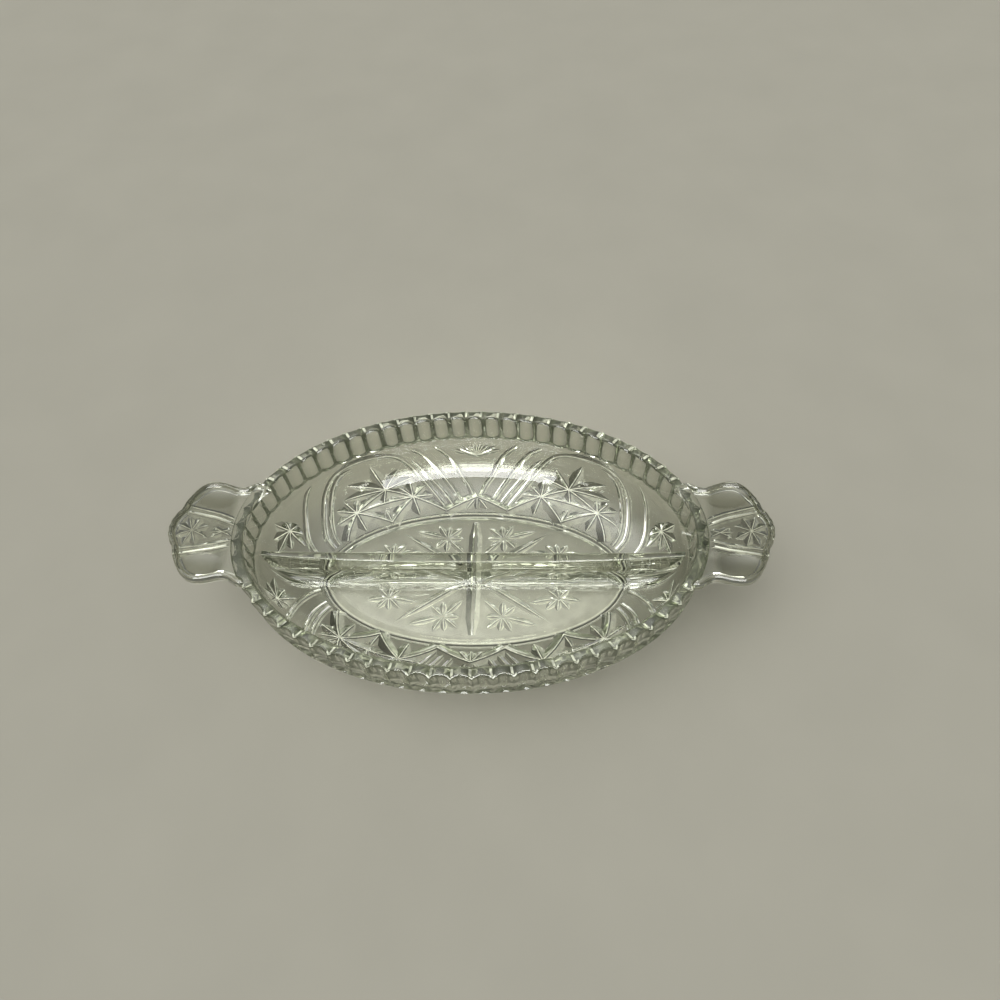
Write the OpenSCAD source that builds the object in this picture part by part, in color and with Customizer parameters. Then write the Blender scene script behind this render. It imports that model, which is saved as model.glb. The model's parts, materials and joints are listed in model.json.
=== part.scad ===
// Pressed-glass oval relish tray: a two-part bowl with a fluted band,
// a scalloped rim, a cut star pattern outside and a fan handle at each end.
// Millimetres. The origin lies under the middle of the foot, +X runs along
// the long axis and +Z is up.

/* [Foot and floor] */
// Length over the foot ring
foot_length = 134; // [120:1:150]
// Width over the foot ring
foot_width = 66.6; // [58:0.2:76]
// Height of the foot ring
foot_height = 1.6; // [1:0.1:2.4]
// Width of the foot ring's tread
foot_tread = 2.6; // [1.6:0.1:4]
// Thickness of the floor plate
floor_thickness = 3.2; // [2.6:0.1:4]
// Depth of the spray cut under the floor
spray_depth = 1.1; // [0.6:0.1:1.5]

/* [Wall] */
// How far the wall leans out between the foot and the fluted band
wall_flare = 25.4; // [21:0.2:30]
// Thickness of the wall where the fluted band begins
wall_thickness = 3.7; // [3:0.1:4.6]
// Depth of a star's rays at its centre
star_depth = 1.1; // [0.5:0.1:1.4]
// Depth of the grooves that draw the arches
groove_depth = 0.8; // [0.4:0.1:1.2]

/* [Fluted band and rim] */
// Height at which the fluted band begins
band_bottom = 27; // [22:0.5:30]
// Height of the band's upper edge, where the scallops begin
band_top = 43.2; // [38:0.2:46]
// Height of the scallops' crowns
rim_height = 45; // [42:0.2:50]
// How far the band leans out over its height
band_flare = 0.5; // [0:0.1:2]
// How far the ridges between the scooped flutes stand proud
flute_rise = 1.4; // [0.8:0.1:2]
// Height of the round lower end of a flute
flute_toe = 3.4; // [2:0.2:6]
// Height of the shoulder that carries the band out from the wall
shoulder_height = 1.4; // [1:0.1:2.4]
// How far the rim dips between two scallops
scallop_dip = 1.1; // [0.4:0.1:1.4]
// Flutes in a quarter of the band
flutes_per_quarter = 16; // [10:1:20]

/* [Divider] */
// Height of the divider's top at mid length
divider_height = 21.5; // [16:0.5:26]
// Extra height of the divider where it meets the wall
divider_end_rise = 4; // [0:0.5:6]
// Width of the divider's top at mid length
divider_top_width = 5.2; // [3:0.2:7]
// Width of the divider's top where it meets the wall
divider_end_width = 1.8; // [1:0.1:3]
// Width of the divider at the floor
divider_foot_width = 15.2; // [9:0.2:18]

/* [Handles] */
// How far a handle stands out from the bowl
handle_length = 27.6; // [22:0.2:33]
// Width of a handle
handle_width = 45; // [38:0.5:50]
// Thickness of a handle's web
handle_web = 3.2; // [2.4:0.1:4]
// Thickness of a handle's rolled edge
handle_edge = 5.4; // [4.6:0.1:6.4]
// Width of a handle's rolled edge
handle_edge_width = 2.4; // [1.6:0.1:3.2]
// Angle at which a handle rises towards its tip
handle_tilt = 6.5; // [0:0.5:10]

/* [Hidden] */

glass = [0.80, 0.85, 0.76, 0.6];

// Semi-axes of the ovals
foot_a = foot_length / 2;
foot_b = foot_width / 2;
floor_top = foot_height + floor_thickness;
floor_inset = foot_tread * 0.4;

// Walls are drawn in a half plane: how far out from the foot's edge, and how high
outer_curve_shares = [[0, 0], [0.55, 0.1], [0.98, 0.3], [1, 1]];
inner_curve_shares = [[0, 0], [0.55, 0.036], [0.965, 0.37], [1, 1]];
inner_flare = wall_flare - wall_thickness + floor_inset;
outer_curve = [for (s = outer_curve_shares)
    [s[0] * wall_flare, foot_height + s[1] * (band_bottom - foot_height)]];
inner_curve = [for (s = inner_curve_shares)
    [s[0] * inner_flare - floor_inset, floor_top + s[1] * (band_bottom - floor_top)]];

wall_columns = 64;
outer_rows = 7;
inner_rows = 6;
columns_per_flute = 4;
band_columns = 4 * flutes_per_quarter * columns_per_flute;

function bezier(p, t) =
    pow(1 - t, 3) * p[0] + 3 * pow(1 - t, 2) * t * p[1]
    + 3 * (1 - t) * t * t * p[2] + pow(t, 3) * p[3];

// A point of an oval that lies out from the foot's edge, at an angle and a height
function oval_point(out, angle, z) =
    [(foot_a + out) * cos(angle), (foot_b + out) * sin(angle), z];
function oval(out, z, angles) = [for (a = angles) oval_point(out, a, z)];

wall_angles = [for (i = [0:wall_columns - 1]) 360 * i / wall_columns];

// Arc length round the oval, so that flutes and stars are spaced evenly
arc_steps = 360;
function arc_table(out) = [
    for (i = 0, s = 0; i <= arc_steps;
         s = s + norm(oval_point(out, 360 * (i + 1) / arc_steps, 0)
                      - oval_point(out, 360 * i / arc_steps, 0)),
         i = i + 1)
        [s, 360 * i / arc_steps]
];
function even_angle(table, share) =
    lookup(share * table[arc_steps][0], table);

band_arcs = arc_table(wall_flare);
band_angles = [for (i = [0:band_columns - 1]) even_angle(band_arcs, i / band_columns)];

// A solid that is closed by stacked rings of points
module stack(rings) {
    n = len(rings[0]);
    last = len(rings) - 1;
    polyhedron(
        points = [for (r = rings) each r],
        faces = concat(
            [[for (i = [0:n - 1]) i]],
            [for (k = [0:last - 1]) for (i = [0:n - 1]) each [
                [k * n + i, (k + 1) * n + i, (k + 1) * n + (i + 1) % n],
                [k * n + i, (k + 1) * n + (i + 1) % n, k * n + (i + 1) % n]]],
            [[for (i = [n - 1:-1:0]) last * n + i]]));
}

// A ring-shaped solid, whose section is closed by the rings of points
module hoop(rings) {
    n = len(rings[0]);
    m = len(rings);
    polyhedron(
        points = [for (r = rings) each r],
        faces = [for (k = [0:m - 1]) for (i = [0:n - 1])
            let (a = k * n + i, b = k * n + (i + 1) % n,
                 c = (k + 1) % m * n + i, d = (k + 1) % m * n + (i + 1) % n)
            each [[a, c, d], [a, d, b]]]);
}

function wall_ring(curve, t) =
    let (p = bezier(curve, t)) oval(p[0], p[1], wall_angles);

// Out at which the inside of the band and the middles of its flutes run, up to the rim
band_inside = wall_flare - wall_thickness;
function band_inner_out(z) =
    band_inside + band_flare * (z - band_bottom) / (band_top - band_bottom);
function hollow_out(z) =
    wall_flare + band_flare * (z - band_bottom) / (band_top - band_bottom);

// Share of a flute's full depth at a place across it, where 0 is its middle and 1 a ridge
flute_fullness = 2.2;
function toe_width_share(z) =
    let (s = min(1, (z - band_bottom) / flute_toe)) sqrt(1 - pow(1 - s, 2));
function flute_share(across, z) =
    let (w = toe_width_share(z))
    w == 0 ? 0 : max(0, w * (1 - pow(across / w, flute_fullness)));
function across_flute(i) =
    abs(2 * (((i + columns_per_flute / 2) % columns_per_flute) / columns_per_flute) - 1);

function fluted_out(i, z) = hollow_out(z) + flute_rise * (1 - flute_share(across_flute(i), z));
function flute_ring(z) = [for (i = [0:band_columns - 1])
    oval_point(fluted_out(i, z), band_angles[i], z)];
function plain_ring(out, z) = oval(out, z, band_angles);

flute_heights = [band_bottom,
                 band_bottom + flute_toe * 0.25,
                 band_bottom + flute_toe,
                 band_top];

// The rim's crown rolls over from the flutes to the inside
rim_roll = (rim_height - band_top) * 0.5;
function crown_z(i) = rim_height - scallop_dip * pow(across_flute(i), 2);
function rim_ring(inward, drop) = [for (i = [0:band_columns - 1])
    oval_point(fluted_out(i, band_top) - inward, band_angles[i], crown_z(i) - drop)];

// Wedge cutters are laid on the outside of the wall. A place is given as
// [share of a quarter of the girth from the middle of a long side, share of the wall's height].
cut_lift = wall_thickness * 0.8;
cut_slope = 1.6;
wall_arcs = arc_table(wall_flare / 2);
function girth_angle(share) = even_angle(wall_arcs, (1 - share) / 4);
function wall_normal(angle, t) =
    let (step = 0.01,
         d = bezier(outer_curve, min(1, t + step)) - bezier(outer_curve, max(0, t - step)),
         side = [cos(angle) / (foot_a + wall_flare / 2),
                 sin(angle) / (foot_b + wall_flare / 2)],
         flat = side / norm(side),
         n = [d[1] * flat[0], d[1] * flat[1], -d[0]])
    n / norm(n);
function wall_place(share) =
    let (angle = girth_angle(share[0]), p = bezier(outer_curve, share[1]))
    oval_point(p[0], angle, p[1]);
function wall_normal_at(share) = wall_normal(girth_angle(share[0]), share[1]);

// Triangle across a cut: its keel and the two sides of its mouth
function cut_section(place, normal, across, depth) = [
    place - depth * normal,
    place + cut_lift * normal + (depth + cut_lift) * cut_slope * across,
    place + cut_lift * normal - (depth + cut_lift) * cut_slope * across
];
module wedge(place0, normal0, depth0, place1, normal1, depth1) {
    run = place1 - place0;
    across = cross(normal0 + normal1, run) / norm(cross(normal0 + normal1, run));
    hull() polyhedron(
        points = concat(cut_section(place0, normal0, across, depth0),
                        cut_section(place1, normal1, across, depth1)),
        faces = [[0, 1, 2], [5, 4, 3], [0, 3, 4, 1], [1, 4, 5, 2], [2, 5, 3, 0]]);
}
module wall_cut(from, to, depth0, depth1) {
    wedge(wall_place(from), wall_normal_at(from), depth0,
          wall_place(to), wall_normal_at(to), depth1);
}
module four_quarters() {
    for (mx = [0, 1]) for (my = [0, 1])
        mirror([mx, 0, 0]) mirror([0, my, 0]) children();
}

// Where the rays of the stars inside an arch end, and the stars' centres
near_star_shares = [0.31, 0.265];
far_star_shares = [0.587, 0.275];
high_star_shares = [0.455, 0.52];
end_star_shares = [0.865, 0.62];
near_ray_shares = [[0.164, 0.02], [0.31, 0.02], [0.464, 0.02], [0.45, 0.27],
                   [0.385, 0.4], [0.325, 0.48], [0.255, 0.42], [0.205, 0.26]];
far_ray_shares = [[0.464, 0.02], [0.612, 0.02], [0.745, 0.02], [0.45, 0.27],
                  [0.52, 0.4], [0.6, 0.47], [0.68, 0.42], [0.735, 0.27]];
high_ray_shares = [[0.385, 0.4], [0.45, 0.29], [0.52, 0.4], [0.6, 0.56],
                   [0.545, 0.73], [0.45, 0.84], [0.36, 0.73], [0.31, 0.56]];
end_ray_shares = [[0.8, 0.62], [0.83, 0.76], [0.868, 0.84], [0.915, 0.76],
                  [0.94, 0.62], [0.905, 0.48], [0.865, 0.38], [0.82, 0.48]];

// Grooves that draw the arch: where each starts and ends at the foot, its height and its fullness
arch_shares = [[0.164, 0.79, 0.93, 2.6], [0.06, 0.85, 1.2, 2], [-0.04, 0.91, 1.35, 2]];
arch_start_shares = [0, 0.035, 0.042];
arch_segments = 10;
foot_margin_share = 0.02;
arch_foot_shares = [[0, 0.2], [0.164, 0.02]];
function arch_point(k, s) =
    let (a = arch_shares[k])
    [a[0] + (a[1] - a[0]) * s,
     max(foot_margin_share, a[2] * (1 - pow(abs(2 * s - 1), a[3])))];
function arch_line(k) = [for (i = [0:arch_segments])
    arch_point(k, arch_start_shares[k]
                  + (1 - arch_start_shares[k]) * (1 - cos(180 * i / arch_segments)) / 2)];

module star(centre, ray_ends) {
    for (e = ray_ends) wall_cut(centre, e, star_depth, 0);
}
module groove(line) {
    for (i = [1:len(line) - 1])
        if (max(line[i][1], line[i - 1][1]) < 1)
            wall_cut(line[i - 1], line[i], groove_depth, groove_depth);
}

module star_wall() {
    color(glass) difference() {
        hoop(concat(
            [oval(-floor_inset, floor_top, wall_angles),
             oval(-floor_inset, foot_height, wall_angles)],
            [for (i = [0:outer_rows - 1]) wall_ring(outer_curve, i / outer_rows)],
            [oval(wall_flare, band_bottom - shoulder_height, wall_angles),
             oval(wall_flare + flute_rise, band_bottom, wall_angles)],
            [for (i = [inner_rows:-1:1]) wall_ring(inner_curve, i / inner_rows)]));
        four_quarters() {
            star(near_star_shares, near_ray_shares);
            star(far_star_shares, far_ray_shares);
            star(high_star_shares, high_ray_shares);
            star(end_star_shares, end_ray_shares);
            groove(arch_line(0));
            groove(arch_line(1));
            groove(arch_line(2));
            groove(arch_foot_shares);
        }
    }
}

module flute_band() {
    color(glass) hoop(concat(
        [for (z = flute_heights) flute_ring(z)],
        [plain_ring(band_inner_out(band_top), band_top),
         plain_ring(band_inside, band_bottom)]));
}

module scalloped_rim() {
    color(glass) hoop([
        flute_ring(band_top),
        rim_ring(0, rim_roll),
        rim_ring(rim_roll, 0),
        plain_ring(band_inner_out(band_top), band_top)
    ]);
}

// Underside of the floor: crossed double rays with a small fan beside each
long_ray_share = 0.8;
ray_start_share = 0.12;
diagonal_angle = 34;
diagonal_share = 0.6;
double_ray_gap = 3;
small_fan_radius = 6.5;
small_fan_shares = [[0.19, 0.58], [0.55, 0.3]];
fan_rays = 6;
module floor_cut(from, to, depth0, depth1) {
    wedge(concat(from, foot_height), [0, 0, -1], depth0,
          concat(to, foot_height), [0, 0, -1], depth1);
}
module small_fan(place) {
    for (i = [0:fan_rays - 1]) {
        a = 360 * (i + 0.5) / fan_rays;
        floor_cut(place, place + small_fan_radius * [cos(a), sin(a)], spray_depth * 0.6, 0);
    }
}

module base_floor() {
    color(glass) difference() {
        translate([0, 0, foot_height]) linear_extrude(floor_thickness)
            polygon([for (p = oval(-floor_inset, 0, wall_angles)) [p[0], p[1]]]);
        four_quarters() {
            floor_cut([double_ray_gap / 2, foot_b * ray_start_share],
                      [double_ray_gap / 2, foot_b * long_ray_share], spray_depth * 0.5, spray_depth * 0.2);
            floor_cut([foot_a * ray_start_share * cos(diagonal_angle),
                       foot_a * ray_start_share * sin(diagonal_angle)],
                      [foot_a * diagonal_share * cos(diagonal_angle),
                       foot_a * diagonal_share * sin(diagonal_angle)], spray_depth, 0);
            floor_cut([foot_a * ray_start_share, double_ray_gap / 2],
                      [foot_a * long_ray_share, double_ray_gap / 2], spray_depth * 0.5, spray_depth * 0.2);
            for (s = small_fan_shares) small_fan([foot_a * s[0], foot_b * s[1]]);
        }
    }
}

module foot_ring() {
    color(glass) linear_extrude(foot_height) difference() {
        polygon([for (p = oval(0, 0, wall_angles)) [p[0], p[1]]]);
        polygon([for (p = oval(-foot_tread, 0, wall_angles)) [p[0], p[1]]]);
    }
}

// The space inside the bowl, which the divider fills across
module cavity() {
    stack(concat(
        [for (i = [0:inner_rows]) wall_ring(inner_curve, i / inner_rows)],
        [oval(band_inner_out(band_top), band_top, wall_angles)]));
}

divider_stations = 12;
divider_reach = foot_a + wall_flare;
divider_end_power = 3;
function divider_z(s) = divider_height + divider_end_rise * pow(abs(s), divider_end_power);
function divider_top(s) =
    divider_end_width + (divider_top_width - divider_end_width) * (1 - s * s);
// The divider's flank: how far out towards its foot, and how high
divider_flank_shares = [[1, 0], [0.88, 0.006], [0.75, 0.02], [0.64, 0.045], [0.56, 0.08],
                        [0.49, 0.14], [0.41, 0.28], [0.27, 0.52], [0.1, 0.82], [0, 0.95]];
function divider_ring(s) =
    let (top = divider_top(s) / 2,
         foot = divider_foot_width / 2,
         rise = divider_z(s) - floor_top,
         half = concat(
             [for (p = divider_flank_shares) [top + (foot - top) * p[0], rise * p[1]]],
             [[top * 0.7, rise]]),
         section = concat(half, [for (i = [len(half) - 1:-1:0]) [-half[i][0], half[i][1]]]))
    [for (p = section) [s * divider_reach, p[0], floor_top + p[1]]];
module divider() {
    color(glass) intersection() {
        cavity();
        stack([for (i = [-divider_stations:divider_stations])
            divider_ring(i / divider_stations)]);
    }
}

// A handle's outline: two round side lobes and a scalloped middle lobe
handle_tip = foot_a + wall_flare + handle_length;
handle_root = foot_a + wall_flare - wall_thickness;
side_lobe_radius = handle_width * 0.2;
middle_lobe_radius = handle_width * 0.1;
handle_fn = 24;
handle_z = rim_height - handle_edge - scallop_dip * 0.4;
module side_lobe() {
    y = handle_width / 2 - side_lobe_radius;
    hull() {
        translate([handle_tip - handle_length * 0.64, y]) circle(side_lobe_radius, $fn = handle_fn);
        translate([handle_tip - handle_length * 0.48, y - side_lobe_radius * 0.3])
            circle(side_lobe_radius, $fn = handle_fn);
        translate([handle_root, 0]) square([side_lobe_radius, handle_width * 0.42]);
    }
}
module middle_lobe() {
    hull() {
        for (i = [-1:1])
            translate([handle_tip - middle_lobe_radius - handle_length * 0.06 * abs(i),
                       i * middle_lobe_radius * 1.3])
                circle(middle_lobe_radius, $fn = handle_fn);
        translate([handle_root, -middle_lobe_radius]) square([side_lobe_radius, 2 * middle_lobe_radius]);
    }
}
module handle_outline() {
    side_lobe();
    mirror([0, 1]) side_lobe();
    middle_lobe();
}
module handle_cut(from, to, depth0, depth1) {
    wedge(concat(from, handle_z + (handle_edge - handle_web) / 2), [0, 0, -1], depth0,
          concat(to, handle_z + (handle_edge - handle_web) / 2), [0, 0, -1], depth1);
}
handle_star_x = handle_tip - handle_width * 0.2;
handle_star_radius = handle_width * 0.15;
handle_ray_spread = 20;
module handle_blank() {
    difference() {
        union() {
            translate([0, 0, handle_z + (handle_edge - handle_web) / 2])
                linear_extrude(handle_web) handle_outline();
            translate([0, 0, handle_z]) linear_extrude(handle_edge) difference() {
                handle_outline();
                offset(delta = -handle_edge_width) handle_outline();
            }
        }
        for (i = [0:7])
            handle_cut([handle_star_x, 0],
                       [handle_star_x + handle_star_radius * cos(45 * i + 22.5),
                        handle_star_radius * sin(45 * i + 22.5)], star_depth, 0);
        for (m = [-1, 1])
            handle_cut([handle_root, m * handle_width * 0.16],
                       [handle_tip - handle_length * 0.25, m * handle_width * 0.25],
                       groove_depth, groove_depth);
    }
}
// The bowl's outside at the height of the handles, which they grow from
module band_body() {
    stack(concat(
        [for (z = flute_heights) flute_ring(z)],
        [rim_ring(0, rim_roll), rim_ring(0, -handle_edge)]));
}
handle_foot_place = [foot_a + wall_flare + flute_rise, 0, handle_z];
module handle_right() {
    color(glass) difference() {
        translate(handle_foot_place) rotate([0, -handle_tilt, 0]) translate(-handle_foot_place)
            handle_blank();
        band_body();
    }
}
module handle_left() {
    mirror([1, 0, 0]) handle_right();
}

base_floor();
foot_ring();
star_wall();
flute_band();
scalloped_rim();
divider();
handle_left();
handle_right();
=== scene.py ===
"""Oval relish tray of clear pressed glass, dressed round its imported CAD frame.

Shapes are drawn in millimetres and brought to metres when a piece is finished. The tray stands on
z = 0 with its long axis on X, so the CAD frame and the visual piece share one place.
"""
import sys
import json
import logging
import math
from bisect import bisect_right
from collections.abc import Callable, Sequence
from dataclasses import dataclass, field, replace
from enum import Enum
from itertools import accumulate

import bmesh
import bpy
from mathutils import Euler, Matrix, Vector

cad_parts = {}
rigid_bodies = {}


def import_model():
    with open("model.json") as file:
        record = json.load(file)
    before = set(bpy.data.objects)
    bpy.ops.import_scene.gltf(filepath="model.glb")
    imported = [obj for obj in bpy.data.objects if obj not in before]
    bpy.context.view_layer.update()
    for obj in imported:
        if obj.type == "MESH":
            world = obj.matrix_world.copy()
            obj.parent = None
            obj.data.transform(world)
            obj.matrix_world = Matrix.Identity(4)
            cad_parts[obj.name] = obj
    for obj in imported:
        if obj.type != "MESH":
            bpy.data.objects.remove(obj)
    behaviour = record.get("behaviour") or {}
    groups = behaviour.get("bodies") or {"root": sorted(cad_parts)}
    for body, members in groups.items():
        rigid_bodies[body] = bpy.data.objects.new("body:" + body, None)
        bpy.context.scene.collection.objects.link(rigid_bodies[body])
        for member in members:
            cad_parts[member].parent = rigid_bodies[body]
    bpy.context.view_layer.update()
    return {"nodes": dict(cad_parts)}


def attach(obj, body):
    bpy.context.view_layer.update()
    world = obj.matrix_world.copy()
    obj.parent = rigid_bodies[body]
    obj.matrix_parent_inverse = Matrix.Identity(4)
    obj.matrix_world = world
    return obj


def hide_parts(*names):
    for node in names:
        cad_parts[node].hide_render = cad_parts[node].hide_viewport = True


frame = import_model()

LOG = logging.getLogger("relish_tray")
MM = 0.001
# Face attributes that the cuts carry into the glass, for painted light and shade: which way a
# facet leans, and how much a face is a painted bright line (above 0) or a painted dark one beside
# it (below 0)
LEAN = "facet_lean"
PAINTED_LINE = "painted_line"
# Depth at which a cut has left the glass
OUT = -0.03
QUARTERS = ((-1, 1), (1, -1), (-1, -1))
Piece = bpy.types.Object
Share = tuple[float, float]
Line = tuple[Share, ...]
Triple = tuple[float, float, float]
RingLaw = Callable[[int], Vector]


# --- Hand tools ---


class Boolean(Enum):
    """How solids are combined."""

    UNION = "UNION"
    DIFFERENCE = "DIFFERENCE"
    INTERSECT = "INTERSECT"


class Bench:
    """The few bench operations that every piece is made with."""

    @staticmethod
    def pick(piece: Piece | None = None) -> None:
        """Makes one piece the only selected and the active one, or selects nothing."""
        if bpy.context.object and bpy.context.object.mode != "OBJECT":
            bpy.ops.object.mode_set(mode="OBJECT")
        bpy.ops.object.select_all(action="DESELECT")
        if piece:
            piece.select_set(True)
            bpy.context.view_layer.objects.active = piece

    @staticmethod
    def add(maker: Callable[..., object], name: str, **settings: object) -> Piece:
        """Adds a primitive, a lamp or a camera by its operator, with nothing else selected.

        Args:
            maker: The operator.
            name: Name of the new object.
            settings: What the operator is told.

        Returns:
            The new object.
        """
        Bench.pick()
        maker(**settings)
        made = bpy.context.object
        made.name = name
        return made

    @staticmethod
    def loft(name: str, columns: int, rings: Sequence[RingLaw]) -> Piece:
        """Extrudes a disc ring by ring into a closed solid.

        Args:
            name: Name of the new object.
            columns: Number of points round each ring.
            rings: One law for each ring, which gives the place of a column's point.

        Returns:
            The solid, with its faces pointing outwards.
        """
        circle = bpy.ops.mesh.primitive_circle_add
        piece = Bench.add(circle, name, vertices=columns, radius=1.0, fill_type="NGON")
        bpy.ops.object.mode_set(mode="EDIT")
        bm = bmesh.from_edit_mesh(piece.data)
        column = bm.verts.layers.int.new("column")
        for index, vert in enumerate(bm.verts):
            vert[column] = index
            vert.co = rings[0](index)
        for ring in rings[1:]:
            bpy.ops.mesh.extrude_region_move()
            bm = bmesh.from_edit_mesh(piece.data)
            column = bm.verts.layers.int["column"]
            for vert in bm.verts:
                if vert.select:
                    vert.co = ring(vert[column])
        bm.normal_update()
        bmesh.update_edit_mesh(piece.data)
        bpy.ops.mesh.select_all(action="SELECT")
        bpy.ops.mesh.normals_make_consistent(inside=False)
        bpy.ops.object.mode_set(mode="OBJECT")
        return piece

    @staticmethod
    def combine(piece: Piece, tools: Sequence[Piece], how: Boolean) -> None:
        """Applies a boolean of several solids to a piece and removes them.

        Args:
            piece: The solid that is changed.
            tools: The solids that are joined to it, cut from it or met with it.
            how: Whether they are joined, cut away or met.
        """
        if not tools:
            return
        group = bpy.data.collections.new(f"{piece.name}_tools")
        bpy.context.scene.collection.children.link(group)
        for tool in tools:
            for owner in list(tool.users_collection):
                owner.objects.unlink(tool)
            group.objects.link(tool)
        Bench.pick(piece)
        modifier = piece.modifiers.new(how.value.lower(), "BOOLEAN")
        modifier.operation = how.value
        modifier.solver = "MANIFOLD"
        modifier.operand_type = "COLLECTION"
        modifier.collection = group
        bpy.ops.object.modifier_apply(modifier=modifier.name)
        for tool in list(group.objects):
            bpy.data.meshes.remove(tool.data)
        bpy.data.collections.remove(group)

    @staticmethod
    def mirrored(piece: Piece, flip: tuple[int, int]) -> Piece:
        """Copies a piece with its own mesh, flipped in X, in Y or in both.

        Args:
            piece: The piece to copy.
            flip: A sign for X and a sign for Y.

        Returns:
            The copy, its faces pointing outwards.
        """
        twin = piece.copy()
        twin.data = piece.data.copy()
        bpy.context.scene.collection.objects.link(twin)
        twin.data.transform(Matrix.Diagonal((flip[0], flip[1], 1, 1)))
        lean = twin.data.attributes.get(LEAN)
        if lean:
            for entry in lean.data:
                x, y, z = entry.vector
                entry.vector = (flip[0] * x, flip[1] * y, z)
        if flip[0] * flip[1] < 0:
            twin.data.flip_normals()
        return twin

    @staticmethod
    def columns(piece: Piece) -> list[int]:
        """The column of each point of a loft."""
        return [entry.value for entry in piece.data.attributes["column"].data]


def between(table: Sequence[Share], share: float) -> float:
    """Reads a value between the entries of a table of pairs.

    Args:
        table: Pairs of a growing key and its value.
        share: Where to read, as a share of the last key.

    Returns:
        The value there, on a straight line between its neighbours.
    """
    key = share * table[-1][0]
    index = min(max(bisect_right([row[0] for row in table], key), 1), len(table) - 1)
    (k0, v0), (k1, v1) = table[index - 1], table[index]
    return v0 + (v1 - v0) * (key - k0) / (k1 - k0)


def bezier(points: Sequence[Share], t: float) -> Share:
    """A point of a cubic curve in the half plane of how far out and how high."""
    weights = ((1 - t) ** 3, 3 * (1 - t) ** 2 * t, 3 * (1 - t) * t * t, t**3)
    return tuple(sum(w * p[i] for w, p in zip(weights, points)) for i in (0, 1))


def smoothed(points: Sequence[Share], steps: int = 3) -> list[Share]:
    """Eases a line of points into a curve that still passes through each of them.

    Args:
        points: The line's corners.
        steps: Number of chords that each side becomes.

    Returns:
        Points along the curve.
    """
    ends = [points[0], *points, points[-1]]
    out = []
    for p, q, r, s in zip(ends, ends[1:], ends[2:], ends[3:]):
        for k in range(steps):
            t = k / steps
            a, b = -0.5 * t + t * t - 0.5 * t**3, 1 - 2.5 * t * t + 1.5 * t**3
            c, d = 0.5 * t + 2 * t * t - 1.5 * t**3, -0.5 * t * t + 0.5 * t**3
            out.append(tuple(a * p[i] + b * q[i] + c * r[i] + d * s[i] for i in (0, 1)))
    return out + [points[-1]]


# --- The tray's form ---


@dataclass(frozen=True)
class TrayForm:
    """Sizes of the moulding in millimetres, as the CAD has them."""

    foot_a: float = 67.0
    foot_b: float = 33.3
    foot_height: float = 1.6
    floor_top: float = 4.8
    floor_inset: float = 1.04
    wall_flare: float = 25.4
    wall_thickness: float = 3.7
    band_bottom: float = 27.0
    band_top: float = 43.2
    band_flare: float = 0.5
    rim_height: float = 45.0
    flute_rise: float = 1.4
    flute_toe: float = 3.4
    flute_fullness: float = 2.2
    flutes: int = 64
    columns_per_flute: int = 8
    scallop_dip: float = 1.1
    rim_roll: float = 1.1

    @property
    def columns(self) -> int:
        """Points round every ring of the bowl."""
        return self.flutes * self.columns_per_flute

    @property
    def outer_curve(self) -> list[Share]:
        """Control points of the wall's outside."""
        low, high = self.foot_height, self.band_bottom
        shares = ((0, 0), (0.55, 0.1), (0.98, 0.3), (1, 1))
        return [(s[0] * self.wall_flare, low + s[1] * (high - low)) for s in shares]

    @property
    def inner_curve(self) -> list[Share]:
        """Control points of the wall's inside."""
        flare = self.wall_flare - self.wall_thickness + self.floor_inset
        low, high = self.floor_top, self.band_bottom
        shares = ((0, 0), (0.55, 0.036), (0.965, 0.37), (1, 1))
        return [(s[0] * flare - self.floor_inset, low + s[1] * (high - low)) for s in shares]

    def oval(self, out: float, angle: float, z: float) -> Vector:
        """A point of the oval that lies out from the foot's edge, at an angle and a height."""
        return Vector(
            ((self.foot_a + out) * math.cos(angle), (self.foot_b + out) * math.sin(angle), z)
        )

    def girth(self, out: float, steps: int = 720) -> list[Share]:
        """Arc length against angle round one oval.

        Args:
            out: How far the oval lies out from the foot's edge.
            steps: Number of chords that measure it.

        Returns:
            Pairs of the length so far and the angle reached.
        """
        angles = [math.tau * i / steps for i in range(steps + 1)]
        places = [self.oval(out, a, 0) for a in angles]
        chords = [(b - a).length for a, b in zip(places, places[1:])]
        return list(zip(accumulate(chords, initial=0.0), angles))

    def across_flute(self, column: int) -> float:
        """Place of a column across its flute, 0 on the crown and 1 in the groove."""
        n = self.columns_per_flute
        return abs(2 * ((column + n // 2) % n) / n - 1)

    def flute_share(self, across: float, z: float) -> float:
        """Share of a flute's rise at a place across it and a height."""
        s = min(1.0, (z - self.band_bottom) / self.flute_toe)
        width = math.sqrt(max(0.0, 1 - (1 - s) ** 2))
        if width < 1e-6:
            return 0.0
        return max(0.0, width * (1 - (across / width) ** self.flute_fullness))

    def groove_out(self, z: float) -> float:
        """How far out the grooves between the flutes run at a height."""
        rise = (z - self.band_bottom) / (self.band_top - self.band_bottom)
        return self.wall_flare + self.band_flare * min(rise, 1.0)

    def band_inner_out(self, z: float) -> float:
        """How far out the inside of the band runs at a height."""
        return self.groove_out(z) - self.wall_thickness


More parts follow.
